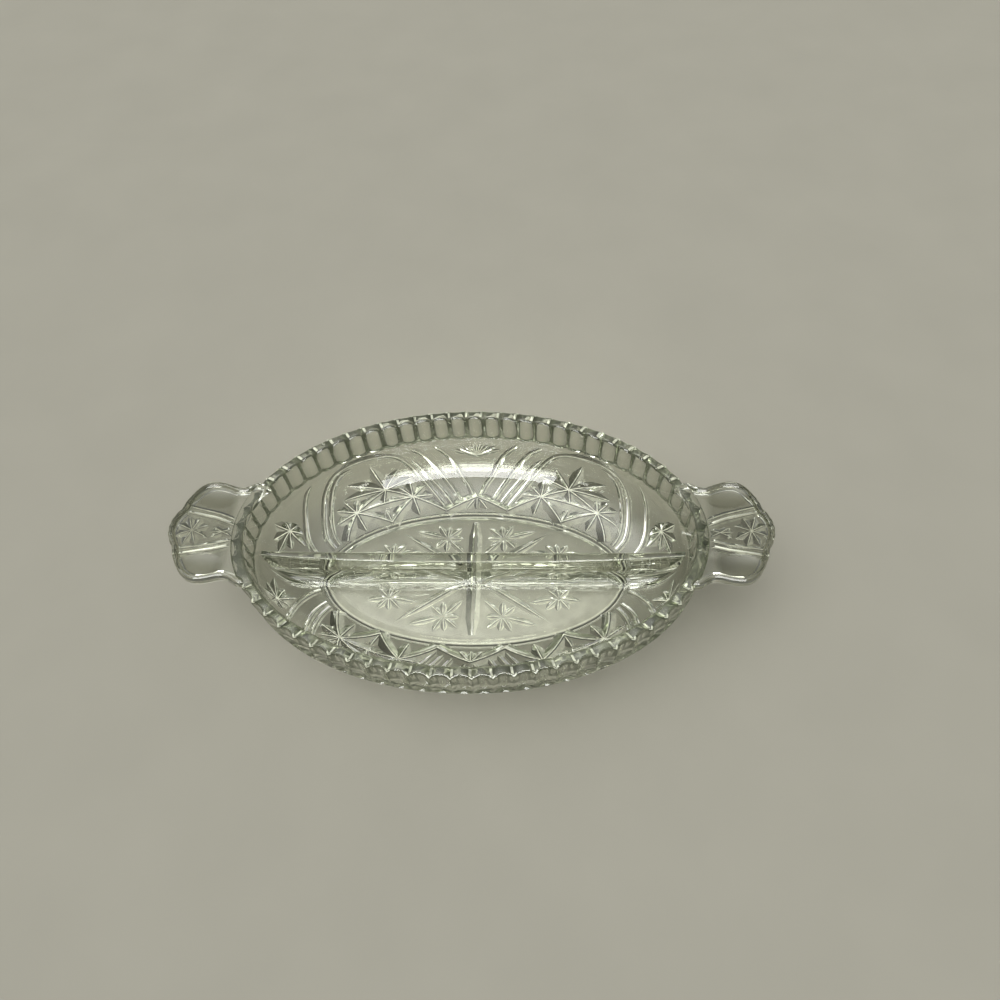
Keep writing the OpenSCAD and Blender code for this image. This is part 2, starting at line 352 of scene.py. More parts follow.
@dataclass
class MouldedBowl:
    """The bowl in one closed skin: foot, floor, wall, fluted band and scalloped rim."""

    form: TrayForm
    outer_rows: int = 18
    inner_rows: int = 20
    toe_heights: tuple[float, ...] = (0.12, 0.35, 0.7, 1.2, 1.9, 2.6, 3.4, 6, 9, 12.5)
    inner_heights: tuple[float, ...] = (12.5, 9, 6, 3, 1)
    floor_insets: Share = (2.0, 6.0)
    foot_section: Line = (
        (-9.5, 1.6), (-7.4, 1.57), (-6.0, 1.44), (-4.9, 1.2), (-4.0, 0.88), (-3.2, 0.52),
        (-2.6, 0.24), (-2.15, 0.07), (-1.8, 0.0), (-1.05, 0.0), (-0.7, 0.1), (-0.38, 0.36),
        (-0.14, 0.78), (-0.03, 1.2),
    )
    waist: Line = (
        (0.0, -1.9), (0.02, -1.5), (0.35, -1.1), (0.95, -0.5), (1.3, -0.12), (1.4, 0.0),
    )
    waist_gap: float = 0.3
    roll_steps: int = 4
    handle_reach: float = 21.6
    handle_fade: float = 1.6
    hood: Share = (39.6, 42.0)
    # Where the rim gets its painted glints: the outer roll's slope, how far into the dip, how far
    # below the top, and how bright
    lit_slope: Share = (0.7, 0.92)
    lit_from: float = 0.75
    lit_below: float = 1.0
    rim_glint: float = 0.9

    def __post_init__(self) -> None:
        """Spaces the columns evenly round the bowl."""
        table = self.form.girth(self.form.wall_flare)
        n = self.form.columns
        self.angles = [between(table, i / n) for i in range(n)]

    def plain(self, out: float, z: float) -> RingLaw:
        """A level ring with no flutes."""
        return lambda i: self.form.oval(out, self.angles[i], z)

    def beside_handle(self, column: int) -> float:
        """1 where a handle grows from the band, 0 away from it."""
        y = abs(self.form.oval(self.form.wall_flare, self.angles[column], 0).y)
        return min(1.0, max(0.0, (self.handle_reach - y) / self.handle_fade))

    def flute_lift(self, column: int, z: float) -> float:
        """How far a column of the band stands out at a height: flutes end under a handle."""
        hollow = self.form.flute_share(self.form.across_flute(column), z)
        under = min(1.0, max(0.0, (z - self.hood[0]) / (self.hood[1] - self.hood[0])))
        return self.form.flute_rise * (1 - hollow * (1 - under * self.beside_handle(column)))

    def fluted(self, z: float) -> RingLaw:
        """A level ring over the flutes."""
        form, angles = self.form, self.angles
        return lambda i: form.oval(form.groove_out(z) + self.flute_lift(i, z), angles[i], z)

    def rolled(self, inward: float, drop: float, from_inside: bool) -> RingLaw:
        """A ring of the rim.

        Args:
            inward: How far it lies from the rim's outer or inner edge.
            drop: How far it lies below the crown.
            from_inside: Whether the inner edge is meant.

        Returns:
            The ring's law.
        """
        form = self.form

        def law(i: int) -> Vector:
            dip = form.scallop_dip * form.across_flute(i) ** 2
            z = form.rim_height - drop - dip * (1 - self.beside_handle(i))
            if from_inside:
                return form.oval(form.band_inner_out(form.band_top) + inward, self.angles[i], z)
            out = form.groove_out(form.band_top) + self.flute_lift(i, form.band_top) - inward
            return form.oval(out, self.angles[i], z)

        return law

    def rings(self) -> list[RingLaw]:
        """All rings, from the middle of the underside round the rim to the floor inside."""
        form = self.form
        rings = [self.plain(out, z) for out, z in self.foot_section]
        below_waist = form.band_bottom + self.waist[0][1]
        for k in range(self.outer_rows + 1):
            out, z = bezier(form.outer_curve, k / self.outer_rows)
            if z < below_waist - self.waist_gap:
                rings.append(self.plain(out, z))
        rings += [self.plain(form.wall_flare + o, form.band_bottom + h) for o, h in self.waist]
        rings += [self.fluted(form.band_bottom + h) for h in self.toe_heights]
        rings.append(self.fluted(form.band_top - form.scallop_dip))
        turns = [math.pi / 2 * k / self.roll_steps for k in range(self.roll_steps + 1)]
        roll = form.rim_roll
        for from_inside, run in ((False, turns), (True, turns[::-1])):
            for a in run:
                inward, drop = roll * (1 - math.cos(a)), roll * (1 - math.sin(a))
                rings.append(self.rolled(inward, drop, from_inside))
        for h in self.inner_heights:
            z = form.band_bottom + h
            rings.append(self.plain(form.band_inner_out(z), z))
        for k in range(self.inner_rows, -1, -1):
            rings.append(self.plain(*bezier(form.inner_curve, k / self.inner_rows)))
        rings += [self.plain(-form.floor_inset - o, form.floor_top) for o in self.floor_insets]
        return rings

    def build(self) -> Piece:
        """Lofts the bowl and marks painted glints on its rim."""
        bowl = Bench.loft("bowl", self.form.columns, self.rings())
        self.paint_rim_glints(bowl)
        return bowl

    def paint_rim_glints(self, bowl: Piece) -> None:
        """Marks a painted glint on the outer roll of the rim in each dip between two scallops."""
        column = Bench.columns(bowl)
        line = bowl.data.attributes.new(PAINTED_LINE, "FLOAT", "FACE")
        low, high = self.lit_slope
        lowest = self.form.band_top - self.lit_below
        for face in bowl.data.polygons:
            x, y, z = face.center
            outward = face.normal.x * x + face.normal.y * y > 0
            if z > lowest and outward and low < face.normal.z < high:
                columns = [column[v] for v in face.vertices]
                in_dip = min(self.form.across_flute(c) for c in columns) >= self.lit_from
                if in_dip and not self.beside_handle(columns[0]):
                    line.data[face.index].value = self.rim_glint


@dataclass
class CentreRib:
    """The low divider that runs lengthways through the bowl."""

    form: TrayForm
    height: float = 21.5
    end_rise: float = 4.0
    top_width: float = 5.2
    end_width: float = 1.8
    foot_width: float = 15.2
    stations: int = 44
    sunk: float = 0.8
    flank: Line = (
        (1.0, 0.003), (0.93, 0.016), (0.84, 0.037), (0.75, 0.063), (0.66, 0.094),
        (0.58, 0.127), (0.51, 0.162), (0.43, 0.216), (0.28, 0.45), (0.12, 0.76),
    )
    crown: Line = ((1.0, 1.1), (0.97, 0.66), (0.9, 0.32), (0.78, 0.1), (0.6, 0.0))
    # Which roll of the crown gets a painted glint along each top edge, and how bright it is
    lit_roll: int = 2
    edge_glint: float = 0.75

    def section(self, s: float) -> list[Share]:
        """Outline of the rib at a place along it.

        Args:
            s: Place along the rib, from -1 to 1.

        Returns:
            Points across the rib, as a distance from its middle plane and a height.
        """
        floor = self.form.floor_top
        top = (self.end_width + (self.top_width - self.end_width) * (1 - s * s)) / 2
        z = self.height + self.end_rise * abs(s) ** 3
        foot = self.foot_width / 2
        rise = z - floor
        half = [(foot, floor - self.sunk)]
        half += [(top + (foot - top) * out, floor + rise * up) for out, up in self.flank]
        half += [(top * out, z - drop) for out, drop in self.crown]
        return half + [(-y, h) for y, h in reversed(half)]

    def build(self) -> Piece:
        """Lofts the rib and trims it to the inside of the bowl."""
        reach = self.form.foot_a + self.form.wall_flare
        columns = len(self.section(0))

        def ring(s: float) -> RingLaw:
            points = self.section(s)
            return lambda i: Vector((s * reach, *points[i]))

        shares = [-1 + 2 * k / self.stations for k in range(self.stations + 1)]
        rib = Bench.loft("rib", columns, [ring(s) for s in shares])
        self.paint_edge_glints(rib, columns)
        Bench.combine(rib, [self.inside()], Boolean.INTERSECT)
        return rib

    def paint_edge_glints(self, rib: Piece, columns: int) -> None:
        """Marks the two narrow rolls along the rib's top edges with a painted glint."""
        column = Bench.columns(rib)
        line = rib.data.attributes.new(PAINTED_LINE, "FLOAT", "FACE")
        first = 1 + len(self.flank) + self.lit_roll
        for face in rib.data.polygons:
            ends = sorted({column[v] for v in face.vertices})
            if ends in ([first, first + 1], [columns - 2 - first, columns - 1 - first]):
                line.data[face.index].value = self.edge_glint

    def inside(self) -> Piece:
        """The bowl's hollow, grown a little into the glass so that the rib roots in it."""
        form, bowl = self.form, MouldedBowl(self.form)
        rings = [bowl.plain(-form.floor_inset, form.floor_top - self.sunk)]
        for k in range(bowl.inner_rows + 1):
            out, z = bezier(form.inner_curve, k / bowl.inner_rows)
            rings.append(bowl.plain(out + self.sunk, z))
        rings.append(bowl.plain(form.band_inner_out(form.band_top) + self.sunk, form.band_top))
        return Bench.loft("hollow", form.columns, rings)


@dataclass
class FanHandle:
    """A flat fan of three lobes that stands out from the band at each end."""

    form: TrayForm
    top: float = 44.56
    thickness: float = 5.4
    web: float = 3.0
    tip_half: float = 8.4
    tip_pitch: float = 3.3
    tip_dip: float = 0.5
    tilt: float = 6.5
    columns: int = 176
    least_border: float = 0.02
    border_from: float = 0.6
    border_fade: float = 3.2
    outline: Line = (
        (89.5, 23.0), (92.0, 21.2), (94.5, 20.3), (97.0, 20.5), (100.0, 21.5), (103.0, 22.3),
        (106.0, 22.45), (109.0, 21.6), (111.6, 19.4), (113.6, 16.4), (115.2, 13.4), (116.0, 11.4),
        (116.2, 10.2), (116.5, 9.0), (117.7, 7.4), (118.9, 5.2), (119.7, 2.6), (120.0, 0.0),
    )

    def root(self, y: float) -> float:
        """How far along X the handle starts inside the band at a place across it."""
        out = self.form.wall_flare - self.form.wall_thickness / 2
        across = y / (self.form.foot_b + out)
        return (self.form.foot_a + out) * math.sqrt(1 - across * across)

    def plan(self) -> list[Vector]:
        """The outline seen from above, as evenly spaced points."""
        half = [Vector(p) for p in self.outline]
        start = half[0].y
        back = [Vector((self.root(y), y)) for y in (0, start * 0.33, start * 0.66, start)]
        upper = back[1:] + half
        ring = [back[0]] + upper + [Vector((p.x, -p.y)) for p in reversed(upper[:-1])]
        sides = [(b - a).length for a, b in zip(ring, ring[1:] + ring[:1])]
        lengths = list(accumulate(sides, initial=0.0))
        xs = list(zip(lengths, [p.x for p in ring] + [ring[0].x]))
        ys = list(zip(lengths, [p.y for p in ring] + [ring[0].y]))
        n = self.columns
        even = [Vector((between(xs, i / n), between(ys, i / n))) for i in range(n)]
        for p in even:
            if abs(p.y) < self.tip_half:
                p.x -= self.tip_dip * (1 - abs(math.cos(math.pi * p.y / self.tip_pitch)))
        return [(even[i - 1] + even[i] * 2 + even[(i + 1) % n]) / 4 for i in range(n)]

    def inward(self, plan: Sequence[Vector], reach: int = 3) -> list[Vector]:
        """Directions that point into the outline, smoothed over its corners."""
        n = len(plan)
        out = []
        for i in range(n):
            run = plan[(i + reach) % n] - plan[i - reach]
            out.append(Vector((run.y, -run.x)).normalized())
        return out

    def build(self) -> Piece:
        """Lofts the handle at the +X end with its rolled border and thinner web."""
        plan = self.plan()
        inward = self.inward(plan)
        free = [self.freedom(p) for p in plan]
        middle, deep = self.top - self.thickness / 2, (self.thickness - self.web) / 2
        border = (
            (3.3, deep), (2.7, deep * 0.93), (2.2, deep * 0.62), (1.75, deep * 0.2),
            (1.2, 0.0), (0.65, 0.12), (0.22, 0.55), (0.0, 1.3),
        )

        def ring(inset: float, drop: float, side: int) -> RingLaw:
            def law(i: int) -> Vector:
                sunk = deep + (drop - deep) * free[i]
                place = plan[i] + inward[i] * (inset * free[i])
                return Vector((*place, middle + side * (self.thickness / 2 - sunk)))

            return law

        rings = [ring(inset, drop, -1) for inset, drop in border]
        rings += [ring(inset, drop, 1) for inset, drop in reversed(border)]
        blank = Bench.loft("handle", self.columns, rings)
        self.lift(blank)
        return blank

    def lift(self, piece: Piece) -> None:
        """Tilts a level piece up round the line where the handle leaves the band."""
        out = self.form.foot_a + self.form.wall_flare + self.form.flute_rise
        foot = Matrix.Translation((out, 0, self.top - self.thickness))
        turn = Matrix.Rotation(-math.radians(self.tilt), 4, "Y")
        piece.data.transform(foot @ turn @ foot.inverted())

    def freedom(self, point: Vector) -> float:
        """How much of its border a point of the outline carries: hardly any within the wall."""
        clear = point.x - self.root(point.y)
        return min(1.0, max(self.least_border, (clear - self.border_from) / self.border_fade))


# --- Mitre cuts ---


@dataclass(frozen=True)
class Mitre:
    """One mitre cut: a line over a surface, how deep it is along it, how wide, and the painted
    light and shade of its facets.
    """

    line: Line
    depths: tuple[float, ...]
    slope: float = 1.5
    keel: float = 0.16
    flank: float = 0.0
    flank_slope: float = 2.3
    # Strengths of painted light and shade: painted shade or glow on the flanks by their lean, a
    # painted glint on the keel, and painted shade on the strips beside it
    gleam: float = 0.6
    glint: float = 0.7
    shade: float = 0.6


@dataclass(frozen=True)
class Spot:
    """A place on a surface and the way out of the glass there."""

    place: Vector
    normal: Vector


@dataclass
class Cutter:
    """Makes mitre tools that follow a surface, with a soft keel and a soft lip."""

    surface: Callable[[Share], Spot]
    step: float = 1.3
    lift: float = 0.7
    lip: float = 0.3
    lip_depth: float = 0.1
    lip_share: float = 0.4
    edge: float = 0.5
    edge_share: float = 0.35
    keel_share: float = 0.3
    keel_rise: float = 0.25
    brim: float = 0.3
    ease: float = 4.0
    least: float = 0.04
    thinnest: float = 0.01

    def half_section(self, depth: float, cut: Mitre) -> list[Share]:
        """Half of the tool's outline: how far across and how far out of the glass.

        A depth of 0 or less lifts the whole outline clear of the glass, which ends a cut.

        Args:
            depth: How deep the keel lies.
            cut: The cut that the tool makes.

        Returns:
            Points from the brim down to the keel.
        """
        deep, ended = max(depth, 0.0), depth <= 0
        flank = deep * cut.flank
        keel = min(cut.keel, max(depth, self.thinnest) * cut.slope * self.keel_share)
        knee = keel + max(cut.slope * (deep - flank), self.least)
        mouth = knee + cut.flank_slope * flank
        lip_depth = min(self.lip_depth, deep * self.lip_share)
        strip = min(self.edge, self.edge_share * (knee - keel))
        keel_height = keel * self.keel_rise * min(1.0, deep * self.ease) - depth
        knee_height = self.thinnest - depth if ended else -max(flank, lip_depth * 1.2)
        rise = (knee_height - keel_height) * strip / (knee - keel)
        lip = self.lip * min(1.0, max(depth, -OUT) * self.ease)
        fold = lip * 0.5
        return [
            (mouth + lip + self.brim, self.lift),
            (mouth + fold, -OUT - min(depth, 0.0)),
            (mouth - fold * min(1.0, deep * 3), 0.02 - depth if ended else -lip_depth),
            (knee, knee_height),
            (keel + strip, keel_height + rise),
            (keel, keel_height),
        ]

    def along(self, cut: Mitre) -> list[tuple[Share, float]]:
        """Spaces stations evenly along a cut.

        Args:
            cut: The cut.

        Returns:
            A place on the surface and a depth for each station.
        """
        spots = [self.surface(p).place for p in cut.line]
        out = []
        for k in range(len(cut.line) - 1):
            count = max(1, round((spots[k + 1] - spots[k]).length / self.step))
            for j in range(count):
                t = j / count
                p, q = cut.line[k], cut.line[k + 1]
                depth = cut.depths[k] + (cut.depths[k + 1] - cut.depths[k]) * t
                out.append(((p[0] + (q[0] - p[0]) * t, p[1] + (q[1] - p[1]) * t), depth))
        out.append((cut.line[-1], cut.depths[-1]))
        return out

    def tool(self, cut: Mitre) -> Piece:
        """Lofts the tool of one cut, and marks the painted light and shade of its facets.

        Args:
            cut: The cut.

        Returns:
            The tool.
        """
        stations = self.along(cut)
        spots = [self.surface(s[0]) for s in stations]
        rings, sides = [], []
        for k, ((_, depth), spot) in enumerate(zip(stations, spots)):
            run = spots[min(k + 1, len(spots) - 1)].place - spots[max(k - 1, 0)].place
            across = spot.normal.cross(run).normalized()
            half = self.half_section(depth, cut)
            full = half + [(-x, h) for x, h in reversed(half)]
            points = [spot.place + across * x + spot.normal * h for x, h in full]
            sides.append((spot.place, across))
            rings.append(lambda i, points=points: points[i])
        tool = Bench.loft("mitre", len(points), rings)
        self.mark(tool, sides, cut, len(points) // 2)
        return tool

    @staticmethod
    def mark(
        tool: Piece, sides: Sequence[tuple[Vector, Vector]], cut: Mitre, half: int
    ) -> None:
        """Writes the painted light and shade of each facet on the tool's faces, which the cut takes
        over.

        The keel gets its painted glint, the strips beside it their painted shade, and the flanks
        the way they lean, which sets their painted shade or glow.

        Args:
            tool: The tool of one cut.
            sides: The place and the direction across the cut at each station.
            cut: The cut that the tool makes.
            half: Number of points in half of the tool's outline.
        """
        column = Bench.columns(tool)
        # Adding an attribute makes earlier references stale, so both are fetched after that
        tool.data.attributes.new(LEAN, "FLOAT_VECTOR", "FACE")
        tool.data.attributes.new(PAINTED_LINE, "FLOAT", "FACE")
        lean, line = tool.data.attributes[LEAN], tool.data.attributes[PAINTED_LINE]
        for face in tool.data.polygons:
            columns = [column[v] for v in face.vertices]
            low, high = min(columns), max(columns)
            if high - low != 1:
                continue
            from_keel = abs(low + 1 - half)
            if from_keel == 0:
                line.data[face.index].value = cut.glint
            elif from_keel == 1:
                line.data[face.index].value = -cut.shade
            else:
                _, across = min(sides, key=lambda side: (side[0] - face.center).length_squared)
                lean.data[face.index].vector = across * (cut.gleam if low >= half else -cut.gleam)

    def wheel(self, name: str, cuts: Sequence[Mitre]) -> Piece:
        """Joins the tools of several cuts into one solid."""
        tools = [self.tool(cut) for cut in cuts]
        first = tools[0]
        first.name = name
        Bench.combine(first, tools[1:], Boolean.UNION)
        return first

    def four_wheels(self, name: str, cuts: Sequence[Mitre]) -> list[Piece]:
        """The wheel of one quarter and its three mirror copies."""
        wheel = self.wheel(name, cuts)
        return [wheel] + [Bench.mirrored(wheel, flip) for flip in QUARTERS]


def star(
    centre: Share, ends: Sequence[Share], like: Mitre, turn: float = 0.62, left: float = 0.9
) -> list[Mitre]:
    """Mitres that run from one centre to several ends.

    Args:
        centre: Where they all start.
        ends: Where each one has left the glass.
        like: The depth at the centre, the section and the painted light and shade of the facets.
        turn: Share of the way after which they rise fast.
        left: Share of the depth that is left there.

    Returns:
        One mitre for each end.
    """
    deep = like.depths[0]
    cuts = []
    for end in ends:
        mid = tuple(c + (e - c) * turn for c, e in zip(centre, end))
        cuts.append(replace(like, line=(centre, mid, end), depths=(deep, deep * left, OUT)))
    return cuts


def web(ends: Sequence[tuple[Share, Share]], like: Mitre) -> list[Mitre]:
    """Mitres of one depth from node to node."""
    deep = like.depths[0]
    return [replace(like, line=pair, depths=(deep, deep)) for pair in ends]


@dataclass
class StarWall:
    """The cut pattern outside the wall: arches, eight-rayed stars and fans."""

    form: TrayForm
    # The last three numbers of a mitre are the strengths of its painted light and shade
    ray: Mitre = Mitre((), (1.9,), 1.4, 0.22, 0.15, 2.4, 1.0, 1.0, 0.9)
    short_ray: Mitre = Mitre((), (1.6,), 1.4, 0.22, 0.15, 2.2, 1.0, 1.0, 0.9)
    fan_ray: Mitre = Mitre((), (1.2,), 1.1, 0.18)
    groove: Mitre = Mitre((), (1.0,), 1.05, 0.3, 0.0, 2.3, 0.6, 0.55, 0.7)
    near_star: Share = (0.31, 0.265)
    far_star: Share = (0.588, 0.283)
    high_star: Share = (0.415, 0.45)
    end_star: Share = (0.845, 0.66)
    vee: Share = (0.0, 0.187)
    fan: Share = (0.0, 0.784)
    tip_cuts: tuple[Mitre, ...] = (
        Mitre(((0.93, 0.04), (0.945, 0.35), (0.985, 0.75)), (0.8, 0.8, OUT), 1.6),
        Mitre(((0.965, 0.04), (0.98, 0.42)), (0.8, OUT), 1.6),
    )
    half_way: float = 0.5
    ramp: Share = (0.45, 0.8)
    arch_lines: tuple[Line, ...] = (
        ((0.165, 0.06), (0.205, 0.257), (0.24, 0.46), (0.277, 0.7), (0.315, 0.86), (0.361, 0.93),
         (0.42, 0.957), (0.48, 0.963), (0.53, 0.95), (0.575, 0.91), (0.61, 0.83), (0.652, 0.69),
         (0.69, 0.53), (0.738, 0.36), (0.785, 0.2), (0.815, 0.04)),
        ((0.127, 0.1), (0.167, 0.289), (0.206, 0.471), (0.24, 0.66), (0.27, 0.79)),
        ((0.08, 0.12), (0.112, 0.285), (0.146, 0.465), (0.188, 0.716), (0.216, 0.84), (0.245, 0.92),
         (0.262, 0.95)),
        ((0.018, 0.2), (0.04, 0.34), (0.068, 0.475), (0.097, 0.7), (0.127, 0.832), (0.15, 0.905),
         (0.163, 0.945)),
        ((0.5, 0.9), (0.555, 0.87), (0.595, 0.77), (0.632, 0.62), (0.67, 0.47), (0.715, 0.31),
         (0.755, 0.16), (0.78, 0.04)),
        ((0.668, 0.95), (0.7, 0.88), (0.73, 0.76), (0.77, 0.59), (0.808, 0.455), (0.848, 0.315),
         (0.885, 0.15), (0.9, 0.04)),
    )

    def __post_init__(self) -> None:
        """Measures the girth at half the wall's flare, as the CAD does."""
        self.table = self.form.girth(self.form.wall_flare / 2)

    def spot(self, share: Share) -> Spot:
        """Finds a point of the wall's outside.

        Args:
            share: Its way from the long side's middle to the end, and from the foot to the band.

        Returns:
            Its place and the way out of the glass.
        """
        angle = between(self.table, ((1 - share[0]) / 4) % 1.0)
        if (1 - share[0]) / 4 < 0:
            angle -= math.tau
        t = min(max(share[1], 0.0), 1.0)
        out, z = bezier(self.form.outer_curve, t)
        before = bezier(self.form.outer_curve, max(0.0, t - 0.01))
        after = bezier(self.form.outer_curve, min(1.0, t + 0.01))
        rise = (after[0] - before[0], after[1] - before[1])
        a, b = self.form.foot_a + out, self.form.foot_b + out
        flat = Vector((math.cos(angle) / a, math.sin(angle) / b)).normalized()
        normal = Vector((rise[1] * flat.x, rise[1] * flat.y, -rise[0])).normalized()
        return Spot(self.form.oval(out, angle, z), normal)

    def grooves(self) -> list[Mitre]:
        """The lines that draw the arches. An end high on the wall rises out of the glass."""
        full = self.groove.depths[0]
        rise = [OUT, *(full * share for share in self.ramp)]
        cuts = []
        for line in self.arch_lines:
            eased = smoothed(line)
            deep = [full] * len(eased)
            if line[-1][1] > self.half_way:
                deep[-3:] = rise[::-1]
            elif line[0][1] > self.half_way:
                deep[:3] = rise
            cuts.append(replace(self.groove, line=tuple(eased), depths=tuple(deep)))
        return cuts

    def cuts(self) -> list[Mitre]:
        """Every cut of one quarter of the wall."""
        near, far, high, end = self.near_star, self.far_star, self.high_star, self.end_star
        feet = [(0.165, 0.03), (0.31, 0.01), (0.467, 0.01), (0.614, 0.01), (0.735, 0.02)]
        middle = (0.45, 0.275)
        links = [(near, feet[0]), (near, feet[2]), (far, feet[2]), (far, feet[4]), (near, middle),
                 (far, middle), (high, middle), (near, high), (far, high)]
        stars = (
            (near, (feet[1], (0.365, 0.46), (0.3, 0.52), (0.24, 0.4), (0.21, 0.25))),
            (far, (feet[3], (0.545, 0.46), (0.6, 0.5), (0.655, 0.44), (0.705, 0.27))),
            (high, ((0.6, 0.52), (0.555, 0.7), (0.435, 0.85), (0.33, 0.7), (0.28, 0.54))),
            (end, ((0.805, 0.62), (0.83, 0.78), (0.868, 0.9), (0.915, 0.78), (0.95, 0.62),
                   (0.905, 0.47), (0.865, 0.34), (0.822, 0.47))),
        )
        fan_ends = ((0.0, 0.96), (0.016, 0.96), (0.034, 0.955), (0.058, 0.95), (0.092, 0.935),
                    (0.11, 0.88))
        cuts = web(links, self.ray)
        for centre, ends in stars:
            cuts += star(centre, ends, self.ray)
        cuts += star(self.fan, fan_ends, self.fan_ray)
        cuts += star(self.vee, ((0.0, 0.03), (0.06, 0.03)), self.short_ray)
        cuts += web([(self.vee, feet[0])], self.ray)
        cuts += star(feet[2], ((0.46, 0.2),), self.short_ray)
        return [*cuts, *self.grooves(), *self.tip_cuts]

    def tools(self) -> list[Piece]:
        """The tools of the whole wall."""
        return Cutter(self.spot).four_wheels("wall_wheel", self.cuts())


@dataclass
class FloorSpray:
    """The spray cut under the floor: crossed rays with fans of petals between them."""

    form: TrayForm
    fans: tuple[tuple[Share, Line], ...] = (
        (
            (12.7, 19.0),
            ((14, 15.5), (58, 8.0), (98, 6.8), (140, 8.6), (180, 7.2), (224, 11.5), (272, 7.0),
             (318, 7.6)),
        ),
        (
            (37.0, 10.2),
            ((8, 9.5), (50, 7.2), (95, 6.2), (136, 8.0), (170, 13.0), (218, 6.6), (265, 6.0),
             (315, 6.8)),
        ),
    )
    ray_angle: float = 33.0
    ray_reach: tuple[float, ...] = (5.5, 12, 26, 40)
    beside_rib: Mitre = Mitre(((8.0, 1.6), (30.0, 1.6), (54.0, 1.6)), (0.7, 0.7, OUT), 1.3)
    # The cross's last three numbers are the strengths of its painted light and shade
    cross: Mitre = Mitre(
        ((0.3, 0.0), (0.3, 20.0), (0.3, 27.5)), (1.15, 1.1, 0.4), 1.0, 0.3, 0.42, 3.6, 1.0, 0.0, 1.0
    )

    def spot(self, point: Share) -> Spot:
        """A place on the underside of the floor."""
        return Spot(Vector((point[0], point[1], self.form.foot_height)), Vector((0, 0, -1)))

    def petal(self, centre: Share, angle: float, length: float) -> Mitre:
        """A lens-shaped cut that starts and ends in a point.

        Args:
            centre: Where the fan of petals starts.
            angle: Which way this one points, in degrees.
            length: How far it reaches.

        Returns:
            The cut.
        """
        a = math.radians(angle)
        places = (0.1, 0.3, 0.55, 0.8, 1.0)
        depths = (0.1, 0.8, 1.0, 0.65, OUT)
        line = tuple(
            (centre[0] + math.cos(a) * length * s, centre[1] + math.sin(a) * length * s)
            for s in places
        )
        return Mitre(line, depths, 1.35, 0.2, gleam=1.0, glint=0.9, shade=0.8)

    def cuts(self) -> list[Mitre]:
        """Every cut of one quarter of the floor."""
        cuts = [self.petal(c, a, length) for c, petals in self.fans for a, length in petals]
        turn = math.radians(self.ray_angle)
        ray = tuple((r * math.cos(turn), r * math.sin(turn)) for r in self.ray_reach)
        cuts.append(Mitre(ray, (0.8, 1.25, 1.1, OUT), 1.4, 0.25, gleam=1.0, shade=0.9))
        return [*cuts, self.beside_rib, self.cross]

    def tools(self) -> list[Piece]:
        """The tools of the whole floor."""
        return Cutter(self.spot, step=2.6).four_wheels("floor_wheel", self.cuts())


@dataclass
class HandleCuts:
    """Star and double ribs under a handle, and the dish on top of each side lobe."""

    handle: FanHandle
    star_centre: Share = (111.2, 0.0)
    star_reach: float = 7.0
    star_stretch: float = 1.05
    foot_star: Share = (99.3, 0.0)
    foot_ends: Line = (
        (95.4, 1.6), (95.4, -1.6), (103.6, 2.2), (103.6, -2.2), (104.4, 0.0),
    )
    rib: Mitre = Mitre((), (0.2, 0.9, 1.0, 0.7), 1.0, 0.3)
    rib_xs: tuple[float, ...] = (95.2, 96.4, 102.0, 115.0)
    rib_root: float = 3.6
    rib_tip: float = 8.4
    rib_gaps: Share = (0.0, 2.6)
    dish_centre: Share = (104.0, 15.0)
    dish_size: Share = (8.4, 5.0)
    dish_depth: float = 1.1
    dish_spread: float = 1.1

    def spot(self, point: Share) -> Spot:
        """A place on the underside of the handle's web."""
        z = self.handle.top - (self.handle.thickness + self.handle.web) / 2
        return Spot(Vector((*point, z)), Vector((0, 0, -1)))

    def cuts(self) -> list[Mitre]:
        """The cuts under the handle at the +X end."""
        x0, y0 = self.star_centre
        turns = [math.pi / 4 * i + math.pi / 8 for i in range(8)]
        wide, deep = self.star_reach, self.star_reach * self.star_stretch
        ends = [(x0 + wide * math.cos(a), y0 + deep * math.sin(a)) for a in turns]
        cuts = star(self.star_centre, ends, Mitre((), (1.3,), 1.3, 0.15, 0.4, 2.2))
        for side in (-1, 1):
            for gap in self.rib_gaps:
                root, tip = self.rib_root + gap, self.rib_tip + gap
                ys = (root, root + 0.2, (root + tip) * 0.48, tip)
                line = tuple((x, side * y) for x, y in zip(self.rib_xs, ys))
                cuts.append(replace(self.rib, line=line))
        return cuts + star(self.foot_star, self.foot_ends, Mitre((), (1.1,), 1.3, 0.15))

    def dish(self, side: int) -> Piece:
        """A flattened ball that dishes a side lobe from above.

        Args:
            side: Sign of the lobe's place across the tray.

        Returns:
            The ball.
        """
        top = self.handle.top - (self.handle.thickness - self.handle.web) / 2
        sphere = bpy.ops.mesh.primitive_uv_sphere_add
        ball = Bench.add(sphere, "dish", segments=48, ring_count=24, radius=1.0)
        a, b = self.dish_size
        grow = self.dish_spread
        high = self.dish_depth / (1 - math.sqrt(1 - 1 / grow**2))
        ball.data.transform(Matrix.Diagonal((a * grow, b * grow, high, 1)))
        rise = top - self.dish_depth + high
        x, y = self.dish_centre
        ball.data.transform(Matrix.Translation((x, side * y, rise)))
        return ball

    def tools(self) -> list[Piece]:
        """Tools for the +X handle, lifted with it, and their mirror copies for the other."""
        first = [Cutter(self.spot, step=3.0).wheel("handle_wheel", self.cuts())]
        first += [self.dish(side) for side in (-1, 1)]
        for tool in first:
            self.handle.lift(tool)
        return first + [Bench.mirrored(tool, (-1, 1)) for tool in first]


# --- Finishes ---


